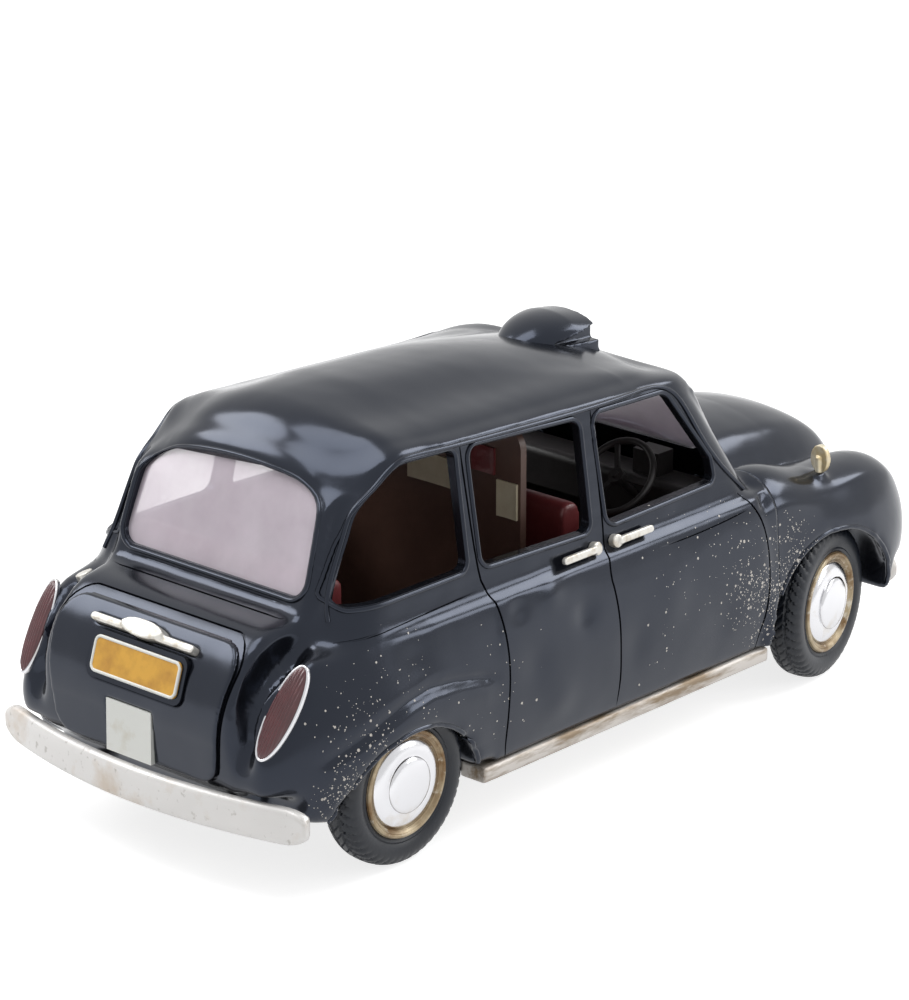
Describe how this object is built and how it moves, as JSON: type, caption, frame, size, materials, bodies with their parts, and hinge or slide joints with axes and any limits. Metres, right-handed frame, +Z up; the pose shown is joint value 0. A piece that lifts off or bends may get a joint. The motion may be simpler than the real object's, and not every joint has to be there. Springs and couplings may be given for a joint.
{
  "type": "model taxi cab",
  "caption": "Collector's scale model of a rounded black taxi cab with open side windows, rolling wheels and steered front wheels.",
  "frame": {"origin": "on the floor under the middle of the bounding box", "axes": "+X forward, +Y to the car's left, +Z up"},
  "size_m": [0.364, 0.1514, 0.1559],
  "materials": {
    "black_paint": "gloss black with a blue-grey sheen",
    "tyre": "matt",
    "rim": "aged beige with brown stains",
    "bright": "worn silver",
    "glass": "slightly hazy",
    "clear_lens": "ribbed",
    "red_lens": "maroon, ribbed",
    "bumper": "matt silver-white with warm stains",
    "sill": "weathered silver",
    "steel": "plain",
    "plate_yellow": "blank",
    "plate_white": "blank",
    "aged_silver": "aged silver",
    "old_gold": "aged gold",
    "seat": "maroon paint on a hard casting",
    "cabin_dark": "dark paint",
    "sign": "blank",
    "floor": "black"
  },
  "bodies": {
    "body": {"back_panel": "black_paint", "bonnet": "black_paint", "boot_handle": "aged_silver", "boot_lid": "black_paint", "dashboard": "cabin_dark", "door_handles": "aged_silver", "driver_seat": "seat", "filler_cap": "aged_silver", "floor_pan": "floor", "front_axle": "steel", "front_body": "black_paint", "front_bumper": "bumper", "front_wing_left": "black_paint", "front_wing_right": "black_paint", "grille": "bright", "headlamp_bezels": "bright", "headlamp_lenses": "clear_lens", "licence_plate": "plate_white", "meter_box": "cabin_dark", "number_plate": "plate_yellow", "partition": "cabin_dark", "plate_frame": "black_paint", "rear_axle": "steel", "rear_bench_back": "seat", "rear_bench_seat": "seat", "rear_bumper": "bumper", "rear_window_glass": "glass", "rear_wing_left": "black_paint", "rear_wing_right": "black_paint", "roof": "black_paint", "roof_sign": "black_paint", "side_panel_left": "black_paint", "side_panel_right": "black_paint", "sign_panel": "sign", "sills": "sill", "steering_wheel": "cabin_dark", "tail_body": "black_paint", "tail_lamp_lenses": "red_lens", "tail_lamp_rims": "bright", "windscreen_frame": "black_paint", "windscreen_glass": "glass", "wing_mirrors": "old_gold"},
    "wheel_front_left": {"tyre_front_left": "tyre", "rim_front_left": "rim", "hubcap_front_left": "bright"},
    "wheel_front_right": {"tyre_front_right": "tyre", "rim_front_right": "rim", "hubcap_front_right": "bright"},
    "wheel_rear_left": {"tyre_rear_left": "tyre", "rim_rear_left": "rim", "hubcap_rear_left": "bright"},
    "wheel_rear_right": {"tyre_rear_right": "tyre", "rim_rear_right": "rim", "hubcap_rear_right": "bright"},
    "knuckle_left": {"knuckle_left": "steel"},
    "knuckle_right": {"knuckle_right": "steel"}
  },
  "joints": [
    {"name": "steer_left", "type": "hinge", "parent": "body", "child": "knuckle_left", "pos_m": [0.119, 0.054, 0.03], "axis": [0, 0, 1], "range_deg": [-33, 11]},
    {"name": "steer_right", "type": "hinge", "parent": "body", "child": "knuckle_right", "pos_m": [0.119, -0.054, 0.03], "axis": [0, 0, 1], "range_deg": [-33, 11]},
    {"name": "spin_front_left", "type": "hinge", "parent": "knuckle_left", "child": "wheel_front_left", "pos_m": [0.11719, 0.06333, 0.03], "axis": [-0.1908, 0.9816, 0], "continuous": true},
    {"name": "spin_front_right", "type": "hinge", "parent": "knuckle_right", "child": "wheel_front_right", "pos_m": [0.12081, -0.06333, 0.03], "axis": [-0.1908, 0.9816, 0], "continuous": true},
    {"name": "spin_rear_left", "type": "hinge", "parent": "body", "child": "wheel_rear_left", "pos_m": [-0.115, 0.0635, 0.03], "axis": [0, 1, 0], "continuous": true},
    {"name": "spin_rear_right", "type": "hinge", "parent": "body", "child": "wheel_rear_right", "pos_m": [-0.115, -0.0635, 0.03], "axis": [0, 1, 0], "continuous": true}
  ],
  "couplings": [
    {"joint": "steer_right", "follows": "steer_left", "ratio": 1}
  ]
}
